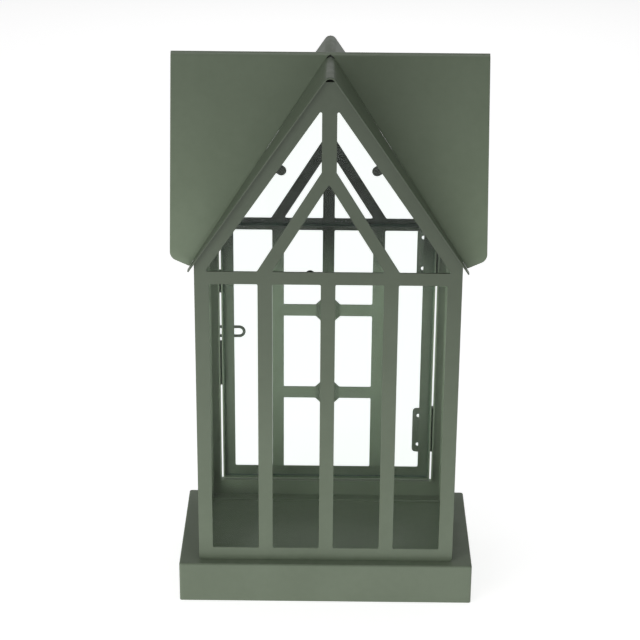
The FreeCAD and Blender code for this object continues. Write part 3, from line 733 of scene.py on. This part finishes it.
@dataclass
class Latch:
    """Wire hook with its eye, the rivet that it turns on, and the pin that it drops over."""

    wire: float = 1.2 * MM
    level: float = 181.4 * MM
    half: float = 4.0 * MM
    back: float = 56.9 * MM
    pivot: float = -81.0 * MM
    ring: float = -72.1 * MM
    short_end: float = -90.5 * MM
    reach: float = -98.0 * MM
    bend: float = 2.4 * MM
    tip: float = 1.2 * MM
    wall: float = 54.5 * MM
    catch: float = -94.4 * MM
    catch_rise: float = 0.9 * MM
    paint: bpy.types.Material | None = None

    def path(self) -> np.ndarray:
        """Middle line of the wire: straight runs joined by a half circle and a quarter circle.

        Returns:
            Array of (x, z).
        """
        low, high = self.level - self.half, self.level + self.half
        turn = np.linspace(-math.pi / 2, math.pi / 2, 25)
        loop = np.stack([self.ring + self.half * np.cos(turn), self.level + self.half * np.sin(turn)], -1)
        quarter = np.linspace(math.pi / 2, math.pi, 11)
        corner = (self.reach + self.bend, high - self.bend)
        hook = np.stack([corner[0] + self.bend * np.cos(quarter),
                         corner[1] + self.bend * np.sin(quarter)], -1)
        start = np.stack([np.linspace(self.short_end, self.ring, 9)[:-1], np.full(8, low)], -1)
        top = np.stack([np.linspace(self.ring, corner[0], 11)[1:-1], np.full(9, high)], -1)
        tail = np.stack([np.full(4, self.reach),
                         np.linspace(corner[1], self.level - self.tip, 5)[1:]], -1)
        return np.concatenate([start, loop, top, hook, tail])

    def build_wire(self) -> None:
        """Hook wire: a circle carried along the middle line, shrunk to a round nose at each end."""
        line = self.path()
        away = np.gradient(line, axis=0)
        away /= np.linalg.norm(away, axis=1, keepdims=True)
        nose = np.linspace(0.12, 1.0, 5)
        radius = np.full(len(line), self.wire)
        cap = self.wire * np.sqrt(1 - (1 - nose) ** 2)
        begin = line[0] + away[0] * (nose[:, None] - 1) * self.wire + away[0] * self.wire
        end = line[-1] - away[-1] * (nose[::-1, None] - 1) * self.wire - away[-1] * self.wire
        inner = slice(1, -1)
        line = np.concatenate([begin, line[inner], end])
        away = np.concatenate([np.repeat(away[:1], 5, 0), away[inner], np.repeat(away[-1:], 5, 0)])
        radius = np.concatenate([cap, radius[inner], cap[::-1]])
        sides = 16
        angle = np.linspace(0, 2 * math.pi, sides, endpoint=False)
        side = np.stack([-away[:, 1], away[:, 0]], -1)
        flat = line[:, None, :] + side[:, None, :] * (radius[:, None] * np.cos(angle))[..., None]
        depth = self.back + radius[:, None] * np.sin(angle)
        points = np.stack([flat[..., 0], depth, flat[..., 1]], -1)
        faces = grid_faces(len(line), sides, wrap=True)[:, ::-1].tolist()
        last = (len(line) - 1) * sides
        faces += [list(range(sides)), list(range(last, last + sides))[::-1]]
        piece = make_object("latch_wire", points, faces, self.paint, 50.0)
        settle(piece, Body.HOOK, "painted_wire", "latch_hook")

    def build_eye(self) -> None:
        """Flat eye between the two runs: a washer with a rounded rim round the rivet."""
        outer, inner, half = 3.6 * MM, 1.25 * MM, 0.6 * MM
        soft = 0.25 * MM
        turn = np.linspace(0, math.pi / 2, 5)
        rim = np.concatenate([
            np.stack([outer - soft + soft * np.sin(turn), -half + soft - soft * np.cos(turn)], -1),
            np.stack([outer - soft + soft * np.cos(turn), half - soft + soft * np.sin(turn)], -1)])
        bore = np.array([[inner, half], [inner, -half]])
        section = np.concatenate([rim, bore])
        sides = 48
        angle = np.linspace(0, 2 * math.pi, sides, endpoint=False)
        points = np.stack([
            self.pivot + section[:, :1] * np.cos(angle),
            np.repeat(self.back + section[:, 1:], angle.size, 1),
            self.level + section[:, :1] * np.sin(angle)], -1)
        closed = np.concatenate([points, points[:1]])
        faces = grid_faces(len(section) + 1, sides, wrap=True)[:, ::-1] % (len(section) * sides)
        piece = make_object("latch_eye", closed[:-1], faces, self.paint, 40.0)
        settle(piece, Body.HOOK, "painted_wire")

    def build_pins(self) -> None:
        """Rivet with a domed head on the door, and the headless catch pin on the frame."""
        collar, shank, head, pin = 2.1 * MM, 1.2 * MM, 2.4 * MM, 1.5 * MM
        rivet = np.concatenate([
            [[0, 0], [collar, 0], [collar, 1.5 * MM], [collar - 0.2 * MM, 1.7 * MM], [shank, 1.7 * MM],
             [shank, 3.1 * MM], [head - 0.1 * MM, 3.1 * MM], [head, 3.2 * MM]],
            dome(head, 0.82 * MM, 3.3 * MM)])
        piece = turned("latch_rivet_head", rivet, (self.pivot, self.wall, self.level), 1, self.paint)
        settle(piece, Body.DOOR, "painted_wire", "latch_rivet")
        catch = np.concatenate([[[0, 0], [pin, 0], [pin, 0.4 * MM], [pin, 3.3 * MM]],
                                dome(pin, 0.75 * MM, 3.45 * MM)])
        centre = (self.catch, self.wall, self.level + self.catch_rise)
        piece = turned("catch_pin", catch, centre, 1, self.paint)
        settle(piece, Body.HOUSE, "painted_wire", "latch_catch")

    def build(self) -> None:
        """Build the whole latch."""
        self.build_wire()
        self.build_eye()
        self.build_pins()


@dataclass
class HingePins:
    """Pins through both hinges, with peened heads."""

    axis: Point = (86.75 * MM, 57.0 * MM, 0.0)
    middles: Mapping[str, float] = field(default_factory=lambda: {"upper": 252 * MM, "lower": 94.8 * MM})
    half: float = 20.0 * MM
    radius: float = 1.2 * MM
    head: float = 2.0 * MM
    rise: float = 0.55 * MM
    paint: bpy.types.Material | None = None

    def build(self) -> None:
        """Build both pins."""
        for name, middle in self.middles.items():
            up = dome(self.head, self.rise, self.half + 0.05 * MM)
            down = dome(self.head, -self.rise, -self.half - 0.05 * MM)[::-1]
            waist = np.array([[self.head, -self.half + 0.12 * MM], [self.radius, -self.half + 0.13 * MM],
                              [self.radius, self.half - 0.13 * MM], [self.head, self.half - 0.12 * MM]])
            profile = np.concatenate([down, waist, up])
            centre = (self.axis[0], self.axis[1], middle)
            piece = turned(f"{name}_hinge_pin_finish", profile, centre, 2, self.paint)
            settle(piece, Body.HOUSE, "painted_wire", f"{name}_hinge_pin")


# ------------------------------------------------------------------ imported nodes


@dataclass
class Dressing:
    """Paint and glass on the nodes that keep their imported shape."""

    sheet: bpy.types.Material
    tabs: bpy.types.Material
    panes: Mapping[str, bpy.types.Material]

    def choose(self, node: str) -> bpy.types.Material:
        """Pick a node's material.

        Args:
            node: Node name.

        Returns:
            Its finish.
        """
        if node.endswith("_glass"):
            return self.panes["side" if node.split("_")[0] in ("left", "right") else "end"]
        return self.tabs if node.endswith("_tabs") else self.sheet

    def apply(self, nodes: Mapping[str, bpy.types.Object]) -> None:
        """Dress every node.

        Args:
            nodes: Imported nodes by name.
        """
        for name, node in nodes.items():
            finish = self.choose(name)
            for slot in node.material_slots:
                slot.material = finish
            LOG.info("%s wears %s", name, finish.name)


# ------------------------------------------------------------------ studio


@dataclass(frozen=True)
class SoftBox:
    """A large soft lamp aimed at a point."""

    name: str
    place: Point
    target: Point
    width: float
    height: float
    power: float
    tint: Colour = (1.0, 1.0, 1.0)

    def build(self) -> None:
        """Hang the lamp."""
        data = bpy.data.lights.new(self.name, "AREA")
        data.shape = "RECTANGLE"
        data.size, data.size_y = self.width, self.height
        data.energy = self.power
        data.color = self.tint
        lamp = bpy.data.objects.new(self.name, data)
        lamp.location = self.place
        lamp.rotation_euler = (Vector(self.target) - Vector(self.place)).to_track_quat("-Z", "Y").to_euler()
        bpy.context.scene.collection.objects.link(lamp)


@dataclass(frozen=True)
class ViewPoint:
    """Camera place, its turn from +Y, its tilt down and its roll, in metres and degrees."""

    place: Point = (0.0008, -1.4203, 0.8179)
    yaw: float = -0.28
    tilt: float = 22.96
    roll: float = 0.45
    lens: float = 111.12
    sensor: float = 36.0

    def build(self) -> None:
        """Set up the camera from its three axes."""
        yaw, tilt, roll = (math.radians(angle) for angle in (self.yaw, self.tilt, self.roll))
        ahead = Vector((math.sin(yaw) * math.cos(tilt), math.cos(yaw) * math.cos(tilt), -math.sin(tilt)))
        right = Vector((math.cos(yaw), -math.sin(yaw), 0.0))
        up = right.cross(ahead)
        across = right * math.cos(roll) + up * math.sin(roll)
        upward = up * math.cos(roll) - right * math.sin(roll)
        data = bpy.data.cameras.new("camera")
        data.lens = self.lens
        data.sensor_width = self.sensor
        data.clip_start, data.clip_end = 0.05, 40.0
        camera = bpy.data.objects.new("camera", data)
        turn = Matrix((across, upward, -ahead)).transposed()
        camera.matrix_world = Matrix.Translation(self.place) @ turn.to_4x4()
        bpy.context.scene.collection.objects.link(camera)
        bpy.context.scene.camera = camera


@dataclass
class Studio:
    """White paper floor, soft lamps and a white surround that is darker overhead."""

    surround: float = 0.38
    overhead: float = 0.1
    floor_half: float = 8.0
    lamps: Sequence[SoftBox] = (
        SoftBox("key_softbox", (-0.9, -0.9, 0.15), (0.0, 0.0, 0.15), 0.6, 0.25, 3.4),
        SoftBox("front_softbox", (-1.1, -1.4, 1.4), (0.0, 0.0, 0.2), 1.0, 0.8, 3.6),
        SoftBox("top_softbox", (0.0, 0.0, 1.9), (0.0, 0.0, 0.2), 1.0, 1.0, 8.0),
        SoftBox("rear_softbox", (0.0, 1.8, 0.8), (0.0, 0.0, 0.2), 1.2, 0.8, 2.0),
    )

    def build_world(self) -> None:
        """Surround that is bright around the horizon and darker overhead."""
        graph = Graph(bpy.data.worlds.new("studio"))
        bpy.context.scene.world = graph.owner
        where = graph.add("TexCoord", output="Generated")
        rise = graph.add("SeparateXYZ", {}, {0: where}, "Z")
        strength = (1.0 - rise.between(0.05, 0.75)) * (self.surround - self.overhead) + self.overhead
        graph.finish(graph.add("Background", {}, {"Color": (1.0, 1.0, 1.0), "Strength": strength}))

    def build(self) -> None:
        """Set up the floor, the lamps, the surround and the camera."""
        half = self.floor_half
        corners = np.array([[-half, -half, 0], [half, -half, 0], [half, half, 0], [-half, half, 0]])
        floor = make_object("studio_floor", corners, [[0, 1, 2, 3]], FloorCard().material())
        for lamp in self.lamps:
            lamp.build()
        self.build_world()
        bpy.context.scene.view_settings.view_transform = "Standard"
        ViewPoint().build()


def write_size() -> None:
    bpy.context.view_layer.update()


def main() -> None:
    """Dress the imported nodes, build the finished pieces and set up the studio."""
    logging.basicConfig(level=logging.INFO, format="%(message)s")
    sheet = SHEET_PAINT.material()
    wire = WIRE_PAINT.material()
    panes = {"end": ClearGlass("clear_pane_end", 1).material(),
             "side": ClearGlass("clear_pane_side", 0).material()}
    Dressing(sheet, TAB_PAINT.material(), panes).apply(frame["nodes"])
    Roof(paint=ROOF_PAINT_PAINTED_LIGHT.material(), gable_paint_painted_shade=GABLE_PAINT_PAINTED_SHADE.material()).build()
    Latch(paint=wire).build()
    HingePins(paint=wire).build()
    Studio().build()
    write_size()


if __name__ == "__main__":
    main()
